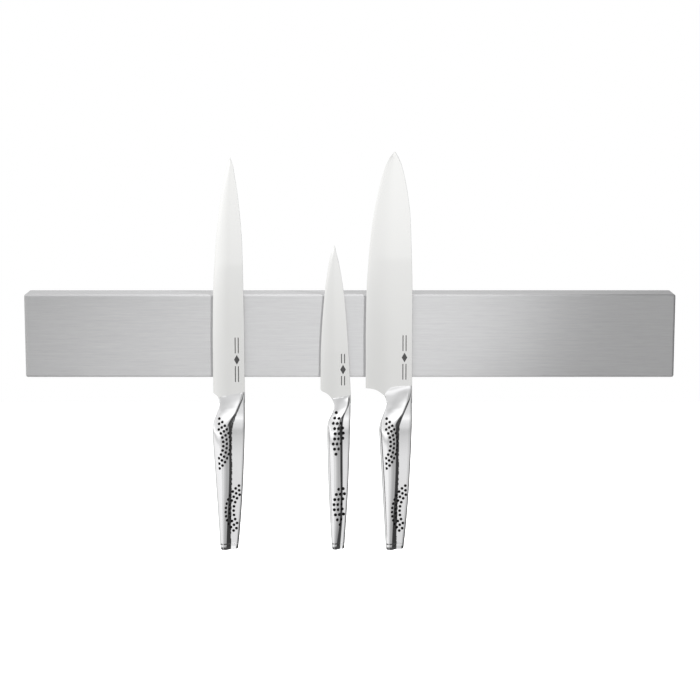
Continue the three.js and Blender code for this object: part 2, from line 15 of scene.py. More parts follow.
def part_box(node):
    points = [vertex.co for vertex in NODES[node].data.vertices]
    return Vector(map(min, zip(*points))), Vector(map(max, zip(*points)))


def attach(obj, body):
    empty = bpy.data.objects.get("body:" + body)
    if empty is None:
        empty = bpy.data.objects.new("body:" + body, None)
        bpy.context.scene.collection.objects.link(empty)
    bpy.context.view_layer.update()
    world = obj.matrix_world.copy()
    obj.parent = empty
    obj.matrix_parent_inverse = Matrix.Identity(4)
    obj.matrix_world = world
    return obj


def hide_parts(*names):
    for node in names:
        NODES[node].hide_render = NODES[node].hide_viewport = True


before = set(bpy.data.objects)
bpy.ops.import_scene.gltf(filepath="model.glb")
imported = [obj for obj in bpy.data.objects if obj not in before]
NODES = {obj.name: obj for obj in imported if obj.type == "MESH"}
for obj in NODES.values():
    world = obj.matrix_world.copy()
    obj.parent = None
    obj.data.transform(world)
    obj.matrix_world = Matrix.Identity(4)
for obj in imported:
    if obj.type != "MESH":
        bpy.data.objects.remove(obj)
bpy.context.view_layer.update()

MM = 0.001


# ---------------------------------------------------------------- camera and stage

TARGET = Vector((0.0002, -0.030, -0.0120))
CAMERA_DISTANCE = 1.6964
CAMERA_ELEVATION = math.radians(8.99)
LENS_MM = 103.0


def aim(obj, target):
    direction = Vector(target) - obj.location
    obj.rotation_euler = direction.to_track_quat("-Z", "Y").to_euler()


def make_camera():
    data = bpy.data.cameras.new("camera")
    data.lens = LENS_MM
    data.sensor_width = 36.0
    data.clip_start = 0.01
    data.clip_end = 50.0
    camera = bpy.data.objects.new("camera", data)
    bpy.context.scene.collection.objects.link(camera)
    back = Vector((0, -math.cos(CAMERA_ELEVATION), math.sin(CAMERA_ELEVATION)))
    camera.location = TARGET + back * CAMERA_DISTANCE
    aim(camera, TARGET)
    bpy.context.scene.camera = camera


make_camera()
bpy.context.scene.view_settings.view_transform = "Standard"


# ---------------------------------------------------------------- node helpers


class Graph:
    """A node tree with short calls for the nodes that the materials and the world use."""

    def __init__(self, tree):
        self.tree = tree
        tree.nodes.clear()

    def node(self, kind, inputs=None, **settings):
        made = self.tree.nodes.new(kind)
        for key, value in settings.items():
            setattr(made, key, value)
        for key, value in (inputs or {}).items():
            self.plug(value, made.inputs[key])
        return made

    def plug(self, value, socket):
        if isinstance(value, bpy.types.NodeSocket):
            self.tree.links.new(value, socket)
        else:
            socket.default_value = value

    def math(self, operation, *values):
        made = self.node("ShaderNodeMath", dict(enumerate(values)), operation=operation)
        return made.outputs[0]

    def mix(self, factor, a, b):
        return self.node("ShaderNodeMix", {"Factor": factor, "A": a, "B": b}).outputs["Result"]

    def ramp(self, factor, stops):
        made = self.node("ShaderNodeValToRGB", {"Fac": factor})
        made.color_ramp.interpolation = "EASE"
        elements = made.color_ramp.elements
        while len(elements) > 1:
            elements.remove(elements[-1])
        for i, (place, value) in enumerate(stops):
            element = elements[0] if i == 0 else elements.new(place)
            element.position = place
            element.color = (value, value, value, 1.0)
        return made.outputs["Color"]

    def noise(self, vector, scale, detail=2.0, roughness=0.5):
        inputs = {"Vector": vector, "Scale": scale, "Detail": detail, "Roughness": roughness}
        return self.node("ShaderNodeTexNoise", inputs).outputs["Fac"]

    def stretched(self, scales):
        place = self.node("ShaderNodeTexCoord").outputs["Object"]
        return self.node("ShaderNodeMapping", {"Vector": place, "Scale": scales}).outputs["Vector"]

    def span(self, value, low, high):
        """A 0 to 1 value spread over low to high."""
        inputs = {"Value": value, "To Min": low, "To Max": high}
        return self.node("ShaderNodeMapRange", inputs).outputs["Result"]

    def tint(self, value, color, depth):
        """A colour that varies in brightness by +- depth with a 0 to 1 value."""
        factor = self.span(value, 1.0 - depth, 1.0 + depth)
        scaled = self.node("ShaderNodeVectorMath", {0: color, "Scale": factor}, operation="SCALE")
        return scaled.outputs["Vector"]

    def bump(self, height, distance, strength=1.0):
        inputs = {"Height": height, "Distance": distance, "Strength": strength}
        return self.node("ShaderNodeBump", inputs).outputs["Normal"]


def material(name):
    made = bpy.data.materials.new(name)
    made.use_nodes = True
    graph = Graph(made.node_tree)
    shader = graph.node("ShaderNodeBsdfPrincipled")
    output = graph.node("ShaderNodeOutputMaterial")
    graph.tree.links.new(shader.outputs["BSDF"], output.inputs["Surface"])
    return made, graph, shader


# ---------------------------------------------------------------- world, floor and lights


def degrees_around(angle):
    """Place on the AROUND ramp: 0 is straight in front of the rack, positive to its right."""
    return 0.5 + angle / 360


def degrees_up(angle):
    return 0.5 + angle / 180


# Brightness of the studio by direction: all round at eye level (AROUND), from straight down to straight up
# (UP), and from left to right in the overhead box and in the floor. The gains scale them.
WORLD_GAIN = 1.5
UP_GAIN = 1.5
NADIR_LEVEL = 1.0  # brightness straight below
AROUND = [
    (degrees_around(-180), 0.68),
    (degrees_around(-168), 0.72),
    (degrees_around(-154), 0.45),
    (degrees_around(-140), 0.5),
    (degrees_around(-115), 0.8),
    (degrees_around(-74), 0.84),
    (degrees_around(-37), 0.86),
    (degrees_around(-20), 0.8),
    (degrees_around(-12), 0.68),
    (degrees_around(-6), 0.62),
    (degrees_around(0), 0.7),
    (degrees_around(4), 0.71),
    (degrees_around(9), 0.6),
    (degrees_around(18), 0.54),
    (degrees_around(28), 0.47),
    (degrees_around(43), 0.38),
    (degrees_around(62), 0.38),
    (degrees_around(70), 0.04),
    (degrees_around(150), 0.02),
    (degrees_around(162), 0.8),
    (degrees_around(180), 0.68),
]
UP = [
    (degrees_up(-90), 0.64),
    (degrees_up(-20), 0.66),
    (degrees_up(-12), 0.69),
    (degrees_up(-9), 0.46),
    (degrees_up(-6), 0.76),
    (degrees_up(-3), 0.92),
    (degrees_up(0), 0.86),
    (degrees_up(6), 0.64),
    (degrees_up(18), 0.57),
    (degrees_up(90), 0.6),
]
BOX_ACROSS = [
    (0.0, 1.2),
    (0.42, 1.1),
    (0.46, 1.5),
    (0.5, 1.5),
    (0.52, 0.95),
    (0.545, 1.2),
    (0.575, 0.03),
    (0.8, 0.03),
    (1.0, 0.2),
]
FLOOR_ACROSS = [
    (0.0, 0.1),
    (0.4, 0.1),
    (0.45, 0.25),
    (0.485, 0.95),
    (0.51, 0.9),
    (0.55, 0.25),
    (0.58, 0.06),
    (1.0, 0.06),
]

# Where one zone of the studio gives way to the next, as ramps over the height.
NADIR_ZONE = [(degrees_up(-75), 1.0), (degrees_up(-55), 0.0)]
FLOOR_ZONE = [(degrees_up(-24), 1.0), (degrees_up(-17), 0.0)]
BOX_ZONE = [(degrees_up(16), 0.0), (degrees_up(34), 1.0)]


def make_world():
    """A white studio: to the camera a plain white room, in reflections soft boxes with dark gaps."""
    world = bpy.data.worlds.new("studio")
    bpy.context.scene.world = world
    world.use_nodes = True
    g = Graph(world.node_tree)
    direction = g.node("ShaderNodeTexCoord").outputs["Generated"]
    axes = g.node("ShaderNodeSeparateXYZ", {"Vector": direction}).outputs
    azimuth = g.math("ARCTAN2", axes["X"], g.math("MULTIPLY", axes["Y"], -1.0))
    turn = g.math("ADD", g.math("DIVIDE", azimuth, 2 * math.pi), 0.5)
    height = g.math("ADD", g.math("DIVIDE", g.math("ARCSINE", axes["Z"]), math.pi), 0.5)
    sides = g.math("MULTIPLY", g.ramp(turn, AROUND), g.ramp(height, UP))
    sides = g.math("MULTIPLY", sides, WORLD_GAIN * UP_GAIN)
    across = g.math("ADD", g.math("MULTIPLY", axes["X"], 0.5), 0.5)
    box = g.math("MULTIPLY", g.ramp(across, BOX_ACROSS), WORLD_GAIN)
    floor = g.math("MULTIPLY", g.ramp(across, FLOOR_ACROSS), WORLD_GAIN)
    floor = g.mix(g.ramp(height, NADIR_ZONE), floor, NADIR_LEVEL)
    room = g.mix(g.ramp(height, FLOOR_ZONE), sides, floor)
    room = g.mix(g.ramp(height, BOX_ZONE), room, box)
    seen = g.node("ShaderNodeLightPath").outputs["Is Camera Ray"]
    studio = g.node("ShaderNodeBackground", {"Color": (1, 1, 1, 1), "Strength": room})
    backdrop = g.node("ShaderNodeBackground", {"Color": (1, 1, 1, 1), "Strength": 1.0})
    mixed = g.node("ShaderNodeMixShader", {0: seen, 1: studio.outputs[0], 2: backdrop.outputs[0]})
    g.node("ShaderNodeOutputWorld", {"Surface": mixed.outputs[0]})


make_world()


FLOOR_HALF_SIZE = 3.0
FLOOR_DEPTH = 0.62  # below the rack's middle: far enough to carry only the softest shadow


def make_floor():
    """A plain pale floor."""
    bm = bmesh.new()
    turns = ((-1, -1), (1, -1), (1, 1), (-1, 1))
    corners = [bm.verts.new((i * FLOOR_HALF_SIZE, j * FLOOR_HALF_SIZE, -FLOOR_DEPTH)) for i, j in turns]
    bm.faces.new(corners)
    mesh = bpy.data.meshes.new("floor")
    bm.to_mesh(mesh)
    bm.free()
    floor = bpy.data.objects.new("floor", mesh)
    bpy.context.scene.collection.objects.link(floor)
    made, _, shader = material("pale_floor")
    shader.inputs["Base Color"].default_value = (0.9, 0.9, 0.9, 1)
    shader.inputs["Roughness"].default_value = 0.9
    shader.inputs["Specular IOR Level"].default_value = 0.1
    shader.inputs["Emission Color"].default_value = (1, 1, 1, 1)
    shader.inputs["Emission Strength"].default_value = 0.8
    mesh.materials.append(made)
    floor.visible_glossy = False


make_floor()


def make_light(name, kind, place, target, power):
    """A light that shows in no reflection: mirrored surfaces see only the studio around them."""
    data = bpy.data.lights.new(name, kind)
    data.energy = power
    light = bpy.data.objects.new(name, data)
    bpy.context.scene.collection.objects.link(light)
    light.location = place
    aim(light, target)
    light.visible_glossy = False
    return data


overhead = make_light(
    "overhead_box", "AREA", place=(-0.32, -0.30, 0.75), target=(-0.2, -0.03, 0.0), power=5.0
)
overhead.shape = "RECTANGLE"
overhead.size, overhead.size_y = 1.15, 0.7

# The key lights the middle of the face more than its ends and throws the blades' shadows to the left.
key = make_light(
    "key_from_right", "SPOT", place=(1.15, -0.92, 0.3), target=(-0.03, -0.03, 0.0), power=270.0
)
key.shadow_soft_size = 0.03
key.spot_size = math.radians(12.6)
key.spot_blend = 1.0


# ---------------------------------------------------------------- materials


def brushed_steel(name, scales, tangent_axis):
    """Folded stainless sheet: long fine scratches one way, which spread its reflections across them."""
    made, g, shader = material(name)
    coarse = g.noise(g.stretched(scales), 1.0, 3.0, 0.6)
    fine = g.noise(g.stretched([s * 4 for s in scales]), 1.0, 2.0, 0.6)
    streaks = g.math("ADD", g.math("MULTIPLY", coarse, 0.6), g.math("MULTIPLY", fine, 0.4))
    g.plug(g.tint(streaks, (0.315, 0.315, 0.318), 0.2), shader.inputs["Base Color"])
    g.plug(g.span(coarse, 0.24, 0.38), shader.inputs["Roughness"])
    g.plug(g.bump(fine, 0.00002, 0.5), shader.inputs["Normal"])
    shader.inputs["Metallic"].default_value = 0.55
    shader.inputs["Anisotropic"].default_value = 0.85
    tangent = g.node("ShaderNodeTangent", direction_type="RADIAL", axis=tangent_axis)
    g.plug(tangent.outputs[0], shader.inputs["Tangent"])
    return made


def satin_blade():
    """Blade steel, ground across its length to a very fine satin."""
    made, g, shader = material("blade_satin")
    cloud = g.noise(g.stretched((30, 30, 12)), 1.0, 2.0)
    grain = g.noise(g.stretched((150, 150, 5000)), 1.0, 2.0)
    g.plug(g.tint(cloud, (0.74, 0.74, 0.73), 0.03), shader.inputs["Base Color"])
    g.plug(g.span(cloud, 0.16, 0.2), shader.inputs["Roughness"])
    g.plug(g.bump(grain, 0.0000006, 0.3), shader.inputs["Normal"])
    shader.inputs["Metallic"].default_value = 1.0
    return made


def polished_handle():
    """Buffed stainless with faint hairlines from use."""
    made, g, shader = material("handle_polish")
    smudge = g.noise(g.stretched((90, 90, 40)), 1.0, 3.0)
    hairline = g.noise(g.stretched((3500, 3500, 120)), 1.0, 2.0)
    g.plug(g.tint(smudge, (0.68, 0.68, 0.685), 0.03), shader.inputs["Base Color"])
    g.plug(g.span(smudge, 0.045, 0.11), shader.inputs["Roughness"])
    g.plug(g.bump(hairline, 0.000001, 0.3), shader.inputs["Normal"])
    shader.inputs["Metallic"].default_value = 1.0
    return made


def moulded(name, color, roughness, grain_scale, grain_height, specular=0.5):
    """Moulded plastic, rubber or enamel with a fine eroded texture."""
    made, g, shader = material(name)
    grain = g.noise(g.stretched((grain_scale,) * 3), 1.0, 2.0, 0.6)
    cloud = g.noise(g.stretched((25, 25, 25)), 1.0, 2.0)
    g.plug(g.tint(cloud, color, 0.12), shader.inputs["Base Color"])
    g.plug(g.span(grain, roughness - 0.08, roughness + 0.08), shader.inputs["Roughness"])
    g.plug(g.bump(grain, grain_height, 0.6), shader.inputs["Normal"])
    shader.inputs["Specular IOR Level"].default_value = specular
    return made


def plated(name, color, roughness):
    """Zinc or nickel plating: slightly cloudy, with fine pitting."""
    made, g, shader = material(name)
    cloud = g.noise(g.stretched((140, 140, 140)), 1.0, 4.0, 0.6)
    pitting = g.noise(g.stretched((2500, 2500, 2500)), 1.0, 1.0)
    g.plug(g.tint(cloud, color, 0.14), shader.inputs["Base Color"])
    g.plug(g.span(cloud, roughness - 0.1, roughness + 0.1), shader.inputs["Roughness"])
    g.plug(g.bump(pitting, 0.000006, 0.4), shader.inputs["Normal"])
    shader.inputs["Metallic"].default_value = 1.0
    return made


STEEL_LONG = brushed_steel("brushed_steel", (22, 700, 700), "X")
STEEL_ENDS = brushed_steel("brushed_steel_ends", (700, 22, 700), "Y")
BLADE_SATIN = satin_blade()
HANDLE_POLISH = polished_handle()
BLACK_ENAMEL = moulded("black_enamel", (0.003, 0.003, 0.003), 0.6, 3000, 0.00001, specular=0.15)
ETCHED = moulded("etched_mark", (0.02, 0.02, 0.02), 0.6, 5000, 0.000005)
BLACK_PLASTIC = moulded("black_plastic", (0.018, 0.018, 0.019), 0.55, 1800, 0.00003)
RUBBER = moulded("rubber", (0.03, 0.03, 0.03), 0.8, 900, 0.00004)
ZINC = plated("zinc_plate", (0.58, 0.6, 0.62), 0.35)
NICKEL = plated("magnet_nickel", (0.5, 0.49, 0.47), 0.28)


# ---------------------------------------------------------------- mesh helpers

SHARP = 40  # degrees: edges that turn more than this are shaded as edges
BLADE_SHARP = 30


def new_object(name, verts, faces, materials, sharp_angle=None):
    """A closed object from bare points and faces, smooth except across edges sharper than an angle."""
    mesh = bpy.data.meshes.new(name)
    mesh.from_pydata([tuple(v) for v in verts], [], faces)
    bm = bmesh.new()
    bm.from_mesh(mesh)
    bmesh.ops.recalc_face_normals(bm, faces=bm.faces)
    bm.to_mesh(mesh)
    bm.free()
    obj = bpy.data.objects.new(name, mesh)
    bpy.context.scene.collection.objects.link(obj)
    for item in materials:
        mesh.materials.append(item)
    mesh.shade_smooth()
    if sharp_angle is not None:
        mesh.set_sharp_from_angle(angle=math.radians(sharp_angle))
    return obj


def along(stations, s):
    """A smooth value between [station, value] pairs, flat beyond both ends."""
    if s <= stations[0][0]:
        return stations[0][1]
    if s >= stations[-1][0]:
        return stations[-1][1]
    i = max(k for k in range(len(stations) - 1) if stations[k][0] <= s)

    def slope(k):
        before, after = stations[max(k - 1, 0)], stations[min(k + 1, len(stations) - 1)]
        return (after[1] - before[1]) / (after[0] - before[0])

    (start, a), (stop, b) = stations[i], stations[i + 1]
    span = stop - start
    t = (s - start) / span
    return (
        (2 * t**3 - 3 * t**2 + 1) * a
        + (t**3 - 2 * t**2 + t) * span * slope(i)
        + (3 * t**2 - 2 * t**3) * b
        + (t**3 - t**2) * span * slope(i + 1)
    )


def stitch(rows, columns, first=0, closed=True):
    """Quads between rings of points laid one after the other."""
    quads = []
    for r in range(rows - 1):
        for c in range(columns if closed else columns - 1):
            a, b = first + r * columns + c, first + r * columns + (c + 1) % columns
            quads.append((a, b, b + columns, a + columns))
    return quads


def lathe(name, profile, at, axis, materials, steps=48):
    """A turned piece: (radius, height) pairs, every radius above 0, along an axis from a point."""
    turn = Vector((0, 0, 1)).rotation_difference(Vector(axis)).to_matrix()
    verts = []
    for r, h in profile:
        for k in range(steps):
            angle = 2 * math.pi * k / steps
            verts.append(turn @ Vector((r * math.cos(angle), r * math.sin(angle), h)) + Vector(at))
    faces = stitch(len(profile), steps)
    last = (len(profile) - 1) * steps
    faces.append(tuple(range(steps - 1, -1, -1)))
    faces.append(tuple(range(last, last + steps)))
    return new_object(name, verts, faces, materials, SHARP)


def modifier(obj, kind, **settings):
    made = obj.modifiers.new(kind.lower(), kind)
    for key, value in settings.items():
        setattr(made, key, value)
    return made


def apply_modifiers(obj):
    bpy.context.view_layer.update()
    evaluated = obj.evaluated_get(bpy.context.evaluated_depsgraph_get())
    mesh = bpy.data.meshes.new_from_object(evaluated)
    mesh.name = obj.name
    obj.modifiers.clear()
    obj.data = mesh
    return obj


def reshade(obj, sharp_angle):
    """Smooth except across edges sharper than an angle."""
    obj.data.shade_smooth()
    obj.data.set_sharp_from_angle(angle=math.radians(sharp_angle))


def cut(obj, cutter):
    """Takes the cutter out of the object. Cut faces keep the cutter's material."""
    settings = {"operation": "DIFFERENCE", "solver": "EXACT", "material_mode": "TRANSFER"}
    modifier(obj, "BOOLEAN", object=cutter, **settings)
    apply_modifiers(obj)
    bpy.data.objects.remove(cutter)


def cut_keeping_shading(obj, cutter):
    """Takes the cutter out, then gives the remaining surface its shading from before the cut."""
    original = obj.copy()
    original.data = obj.data.copy()
    bpy.context.scene.collection.objects.link(original)
    cut(obj, cutter)
    modifier(obj, "DATA_TRANSFER", object=original, use_loop_data=True, data_types_loops={"CUSTOM_NORMAL"},
             loop_mapping="POLYINTERP_NEAREST")
    apply_modifiers(obj)
    bpy.data.objects.remove(original)


def stands_for(obj, node, body):
    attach(obj, body)
    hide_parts(node)


# ---------------------------------------------------------------- the rack's cover

SHEET = 1.0 * MM
FOLD = 2.0 * MM  # outside radius of the folds and corners
RIM = 0.12 * MM  # the deburred rear edge
LEAST_RADIUS = 0.02 * MM
ARC_STEPS = 7


def rounded_ring(half_width, half_height, radius, y, steps):
    """Points of a rectangle with round corners in the plane of the face, anticlockwise from in front."""
    points = []
    for corner, (sx, sz) in enumerate(((1, -1), (1, 1), (-1, 1), (-1, -1))):
        for k in range(steps + 1):
            angle = -math.pi / 2 + (corner + k / steps) * math.pi / 2
            x = sx * (half_width - radius) + radius * math.cos(angle)
            z = sz * (half_height - radius) + radius * math.sin(angle)
            points.append(Vector((x, y, z)))
    return points


def make_cover():
    low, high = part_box("front_cover")
    half_width, half_height = (high.x - low.x) / 2, (high.z - low.z) / 2
    face_y, rear_y = low.y, high.y
    rings = []

    def ring(inset, y, radius):
        radius = max(radius, LEAST_RADIUS)
        rings.append(rounded_ring(half_width - inset, half_height - inset, radius, y, ARC_STEPS))

    inner = FOLD - SHEET
    for k in range(ARC_STEPS + 1):
        angle = math.pi / 2 * (1 - k / ARC_STEPS)
        ring(SHEET + inner * (1 - math.cos(angle)), face_y + SHEET + inner * (1 - math.sin(angle)),
             inner * math.cos(angle))
    ring(SHEET, rear_y - RIM, inner)
    ring(SHEET - RIM, rear_y, inner + RIM)
    ring(RIM, rear_y, FOLD - RIM)
    ring(0, rear_y - RIM, FOLD)
    for k in range(ARC_STEPS + 1):
        angle = math.pi / 2 * k / ARC_STEPS
        ring(FOLD * (1 - math.cos(angle)), face_y + FOLD * (1 - math.sin(angle)), FOLD * math.cos(angle))
    count = len(rings[0])
    verts = [p for points in rings for p in points]
    faces = [tuple(reversed(quad)) for quad in stitch(len(rings), count)]
    faces.append(tuple(reversed(range(count))))
    last = (len(rings) - 1) * count
    faces.append(tuple(range(last, last + count)))
    cover = new_object("cover_shell", verts, faces, [STEEL_LONG, STEEL_ENDS])
    for polygon in cover.data.polygons:
        if abs(polygon.normal.x) > 0.72:
            polygon.material_index = 1
    modifier(cover, "WEIGHTED_NORMAL", keep_sharp=True, weight=95)
    stands_for(cover, "front_cover", "rack")


make_cover()


# ---------------------------------------------------------------- the back of the rack

SCREW_HEAD = 2.6 * MM  # radius
SCREW_RISE = 1.6 * MM  # height of the pan head
HEAD_WALL = 0.4 * MM  # straight part of the head's height
HEAD_EDGE = 0.12 * MM
HEAD_UNDERCUT = 0.15 * MM  # how much narrower the head is at its seat
HEAD_STEPS = 8
THREAD_CORE, THREAD_CREST, THREAD_PITCH = 0.95 * MM, 1.25 * MM, 0.9 * MM
SCREW_TIP, SCREW_TAPER = 0.25 * MM, 1.6 * MM  # radius of the point, length of its taper
FIRST_TURN = 2.0 * MM  # from the point
RECESS_SIZE, RECESS_WIDTH, RECESS_DEPTH = 2.7 * MM, 0.7 * MM, 0.9 * MM
RECESS_TAPER = 0.8  # width at the bottom over width at the top


def cross_cutter(at):
    """Two crossed bars that cut a screw's recess, open towards +Y."""
    bars = []
    for dx, dz in ((RECESS_SIZE, RECESS_WIDTH), (RECESS_WIDTH, RECESS_SIZE)):
        verts = [
            Vector(at) + Vector((sx * dx / 2, y, sz * dz / 2 * (RECESS_TAPER if y < 0 else 1)))
            for y in (-RECESS_DEPTH, 2 * RECESS_DEPTH)
            for sx, sz in ((-1, -1), (1, -1), (1, 1), (-1, 1))
        ]
        faces = [(0, 1, 2, 3), (7, 6, 5, 4), (0, 4, 5, 1), (1, 5, 6, 2), (2, 6, 7, 3), (3, 7, 4, 0)]
        bars.append(new_object("recess", verts, faces, [ZINC], 1))
    modifier(bars[0], "BOOLEAN", operation="UNION", object=bars[1], solver="EXACT")
    apply_modifiers(bars[0])
    bpy.data.objects.remove(bars[1])
    return bars[0]


def make_screw(node):
    """Pan head with a cross recess on a threaded shank, pointing away from the wall."""
    low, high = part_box(node)
    x, z = (low.x + high.x) / 2, (low.z + high.z) / 2
    seat = high.y - SCREW_RISE
    length = seat - low.y
    profile = [(SCREW_TIP, -length), (THREAD_CORE, -length + SCREW_TAPER)]
    turn = -length + FIRST_TURN
    while turn < -THREAD_PITCH:
        profile += [
            (THREAD_CORE, turn),
            (THREAD_CREST, turn + 0.35 * THREAD_PITCH),
            (THREAD_CORE, turn + 0.7 * THREAD_PITCH),
        ]
        turn += THREAD_PITCH
    profile += [(THREAD_CORE, -0.1 * MM), (THREAD_CORE, 0), (SCREW_HEAD - HEAD_UNDERCUT, 0)]
    profile += [(SCREW_HEAD, HEAD_EDGE), (SCREW_HEAD, HEAD_WALL)]
    for k in range(1, HEAD_STEPS):
        angle = math.pi / 2 * k / HEAD_STEPS
        height = HEAD_WALL + (SCREW_RISE - HEAD_WALL) * math.sin(angle)
        profile.append((SCREW_HEAD * math.cos(angle) ** 0.8, height))
    profile.append((SCREW_HEAD * 0.12, SCREW_RISE))
    screw = lathe(node + "_body", profile, (x, seat, z), (0, 1, 0), [ZINC], steps=32)
    cut(screw, cross_cutter((x, high.y, z)))
    reshade(screw, SHARP)
    stands_for(screw, node, "rack")


PAD_EDGE = 0.7 * MM  # radius of the pad's outer edge
PAD_DISH = 0.35 * MM  # depth of its face
PAD_CENTRE = 0.2 * MM


def make_pad(node):
    """Turned rubber pad with a rounded rim and a shallow dished face."""
    low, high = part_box(node)
    height = high.y - low.y
    radius = max((high.x - low.x) / 2, (high.z - low.z) / 2)
    at = ((low.x + high.x) / 2, low.y, (low.z + high.z) / 2)
    profile = [(PAD_CENTRE, 0), (radius - 0.1 * MM, 0), (radius, 0.1 * MM), (radius, height - PAD_EDGE)]
    for k in range(1, 6):
        angle = math.pi / 2 * k / 5
        inset = PAD_EDGE * (1 - math.cos(angle))
        profile.append((radius - inset, height - PAD_EDGE * (1 - math.sin(angle))))
    floor = height - PAD_DISH
    profile += [(radius * 0.62, height), (radius * 0.56, floor), (PAD_CENTRE, floor)]
    pad = lathe(node + "_body", profile, at, (0, 1, 0), [RUBBER], steps=56)
    stands_for(pad, node, "rack")


for i in range(1, 5):
    make_pad(f"wall_pad_{i}")
for i in range(1, 7):
    make_screw(f"back_screw_{i}")
for side in ("left", "right"):
    for i in (1, 2):
        make_screw(f"hanger_screw_{side}_{i}")


# ---------------------------------------------------------------- the knives

# Each handle's left edge, right edge, crease and half depth along s, the crease's depth as a share of the
# half depth, the half depth that is flush with the blade, and the slope of the wall beside its crease.
WIDE_HANDLE = {
    "left": [[-9, -25.6], [-7, -24.3], [-5, -22.8], [-2.5, -21.9], [0, -21.6], [4, -22.3], [8, -23.7],
             [15, -26.4], [21, -27.8], [28, -27.8], [60, -25.9], [100, -23.6], [127.5, -22]],
    "right": [[20, 0], [45, -0.9], [80, -2.7], [110, -5], [127.5, -6.8]],
    "crease": [[-9, -0.5], [-3, -1.7], [2.5, -3.8], [8, -6.2], [13.5, -8.5], [20, -10.4], [33, -11.1],
               [60, -11.1], [100, -12.3], [127.5, -12.8]],
    "depth": [[-16, 1.15], [-11, 1.6], [-4, 3.5], [4, 5.8], [14, 8.2], [28, 9.19], [60, 9.19],
              [127.5, 7.8]],
    "crease_share": [[-9, 0.66], [8, 0.6], [20, 0.57], [60, 0.57], [90, 0.53], [127.5, 0.42]],
    "blade_half": 1.22,
    "wall_slope": 0.96,
}
NARROW_HANDLE = {
    "left": [[-5, -17.2], [-3, -15.7], [0, -14.7], [5, -14.5], [10, -16.4], [16, -19.2], [21, -20],
             [45, -19.9], [90, -18.4], [127.5, -16.3]],
    "right": [[8, 0], [40, -0.9], [80, -2.5], [127.5, -5.6]],
    "crease": [[-8, -0.4], [-2, -0.8], [2.5, -1.6], [7, -3.7], [12.5, -6], [20, -6.7], [95, -6.9],
               [127.5, -9.2]],
    "depth": [[-9, 0.85], [-5, 1.5], [-1, 3], [5, 4.7], [14, 6.8], [28, 7.8], [60, 7.8], [127.5, 6.6]],
    "crease_share": [[-9, 0.68], [8, 0.63], [20, 0.6], [60, 0.6], [90, 0.58], [127.5, 0.5]],
    "blade_half": 0.92,
    "wall_slope": 0.81,
}
# The lobe rises round from the left edge to its crest, falls off in a curve, then down a steep wall.
CREST_SHARE = [[8, 0.88], [20, 0.64], [34, 0.5], [60, 0.5], [100, 0.4], [127.5, 0.3]]  # left edge to crease
ROLL_OFF = [[10, 2.0], [127.5, 1.8]]  # power of the curve beyond the crest
WALL = [[-9, 0.5], [4, 1.1], [16, 1.7], [80, 1.8], [127.5, 2.3]]  # width of the wall
WIDEST_WALL, HIGHEST_WALL = 0.6, 0.8  # of the way from crest to crease, and of the drop
LOBE_ROUNDNESS = 2.2
# At the neck the lobe is hollow instead: a low sweep that climbs to the crest.
NECK_HOLLOW = [[4, 1.0], [24, 0.0]]  # 1 is hollow, 0 is round
NECK_FLAT = [[-10, 0.15], [0, 0.45], [6, 0.5]]  # where the sweep starts: 0 is the blade's depth, 1 the crest's
NECK_SWEEP = 2.6  # power of the sweep's climb
NECK_EDGE = 0.7  # radius at its left edge
# The facet is nearly flat, as far as the rounded spine side.
FACET_SLOPE = 0.02
SPINE_ROUND = 1.4
SKIN_END = 122.4  # where the handle's skin meets the butt cap
BUTT_END = 127.5
NECK_Z = -57.0

# Each knife's spine and edge up to the tip are [z, x] pairs. Its foot is the heel's curve, then the line
# where blade and bolster meet, as [x, z] pairs. Its mark lies between two heights. spine_x is the spine's
# place on the rack.
KNIVES = {
    "chef_knife": {
        "spine_x": 52.8,
        "thickness": 2.4,
        "mark": (20.0, 58.0),
        "handle": WIDE_HANDLE,
        "spine": [[98, 0], [132, -1], [159, -2.1], [173, -3.7], [186, -5.8], [199, -8.7], [206, -11.3],
                  [212.6, -14.8]],
        "edge": [[57, -39.3], [98, -38.6], [119, -37.3], [139, -35.6], [159, -33], [179, -29], [193, -25.5],
                 [206, -20.4], [212.6, -15.6]],
        "foot": [[[-39.4, 12.4], [-35.5, 12.1], [-31.5, 11.3], [-27.5, 9.3], [-24.4, 6.9], [-23.8, 6.4]],
                 [[-23.8, 6.4], [-22.2, 9.4], [-19.5, 12.3], [-15, 14.1], [-8, 14.7], [0, 14.7]]],
    },
    "slicing_knife": {
        "spine_x": -89.1,
        "thickness": 2.2,
        "mark": (18.0, 56.0),
        "handle": WIDE_HANDLE,
        "spine": [[57, 0], [99, -0.6], [140, -1.5], [160, -3], [175, -4.5], [190, -6.6], [201, -8.5],
                  [207.6, -10.6]],
        "edge": [[57, -26.8], [99, -25.9], [120, -24.7], [147, -22.5], [173, -19.2], [187, -16.9],
                 [200, -13.9], [207.6, -11]],
        "foot": [[[-26.9, 8.6], [-25.4, 7.2], [-23.6, 6], [-22.6, 4.6], [-22.2, 3.6]],
                 [[-22.2, 3.6], [-20.5, 5], [-14, 6.6], [-7, 8.1], [0, 9.4]]],
    },
    "utility_knife": {
        "spine_x": 0.8,
        "thickness": 1.8,
        "mark": (15.0, 42.0),
        "handle": NARROW_HANDLE,
        "spine": [[8, 0], [26, -0.9], [47, -2], [85, -4.8], [106, -7.5], [120, -10.1], [133.9, -13.5]],
        "edge": [[12, -25.7], [43, -25.3], [61, -24.5], [78, -23.3], [99, -21.4], [113, -19.4], [126, -17],
                 [133.9, -13.9]],
        "foot": [[[-25.7, 11.3], [-24.6, 10], [-20.5, 7.9], [-17.6, 5.4], [-16.4, 3.9]],
                 [[-16.4, 3.9], [-13, 4.4], [-6, 5.5], [0, 6.4]]],
    },
}


